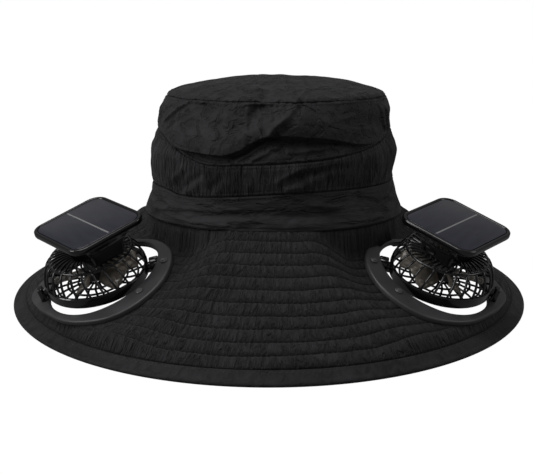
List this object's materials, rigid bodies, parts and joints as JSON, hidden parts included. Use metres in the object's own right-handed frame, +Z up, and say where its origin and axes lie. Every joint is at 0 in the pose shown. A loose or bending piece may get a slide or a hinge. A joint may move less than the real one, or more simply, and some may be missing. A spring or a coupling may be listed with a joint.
{
  "type": "solar fan hat",
  "caption": "Wide-brimmed cloth sun hat with a round caged fan, tilting on the brim under a small square solar panel, at each side of the front.",
  "frame": {"origin": "centre of the bounding box at the brim's lowest face, on the surface it rests on", "axes": "+X toward the viewer's right when seen from the front, -Y toward the front, +Z up through the crown"},
  "size_m": [0.364, 0.371, 0.1573],
  "materials": {
    "cloth": "matt smooth weave",
    "crinkle": "matt crinkled",
    "plate_plastic": "satin",
    "black_plastic": "gloss",
    "smoky_plastic": "smoky translucent",
    "steel": "dull",
    "cell": "satin resin over cells",
    "silver": "printed silver"
  },
  "bodies": {
    "hat": {"crown_top": "cloth", "crown_upper": "cloth", "crown_crinkle": "crinkle", "crown_lower": "cloth", "brim": "crinkle", "brim_hem": "cloth", "left_plate": "plate_plastic", "left_outer_pivot": "black_plastic", "left_inner_pivot": "black_plastic", "left_rivet_1": "steel", "left_rivet_2": "steel", "left_rivet_3": "steel", "right_plate": "plate_plastic", "right_outer_pivot": "black_plastic", "right_inner_pivot": "black_plastic", "right_rivet_1": "steel", "right_rivet_2": "steel", "right_rivet_3": "steel"},
    "left_fan": {"left_cage": "black_plastic", "left_motor": "steel", "left_battery_box": "black_plastic", "left_panel_frame": "black_plastic", "left_solar_cell": "cell", "left_busbar": "silver"},
    "left_impeller": {"left_impeller": "smoky_plastic"},
    "right_fan": {"right_cage": "black_plastic", "right_motor": "steel", "right_battery_box": "black_plastic", "right_panel_frame": "black_plastic", "right_solar_cell": "cell", "right_busbar": "silver"},
    "right_impeller": {"right_impeller": "smoky_plastic"}
  },
  "joints": [
    {"name": "left_fan_tilt", "type": "hinge", "parent": "hat", "child": "left_fan", "pos_m": [-0.1119, -0.0797, 0.0332], "axis": [0.9709, 0.1184, 0.2081], "range_deg": [-15, 25]},
    {"name": "left_impeller_spin", "type": "hinge", "parent": "left_fan", "child": "left_impeller", "pos_m": [-0.1119, -0.0797, 0.0332], "axis": [-0.1744, -0.2459, 0.9535], "continuous": true},
    {"name": "right_fan_tilt", "type": "hinge", "parent": "hat", "child": "right_fan", "pos_m": [0.1119, -0.0797, 0.0332], "axis": [0.9709, -0.1184, -0.2081], "range_deg": [-15, 25]},
    {"name": "right_impeller_spin", "type": "hinge", "parent": "right_fan", "child": "right_impeller", "pos_m": [0.1119, -0.0797, 0.0332], "axis": [0.1744, -0.2459, 0.9535], "continuous": true}
  ]
}
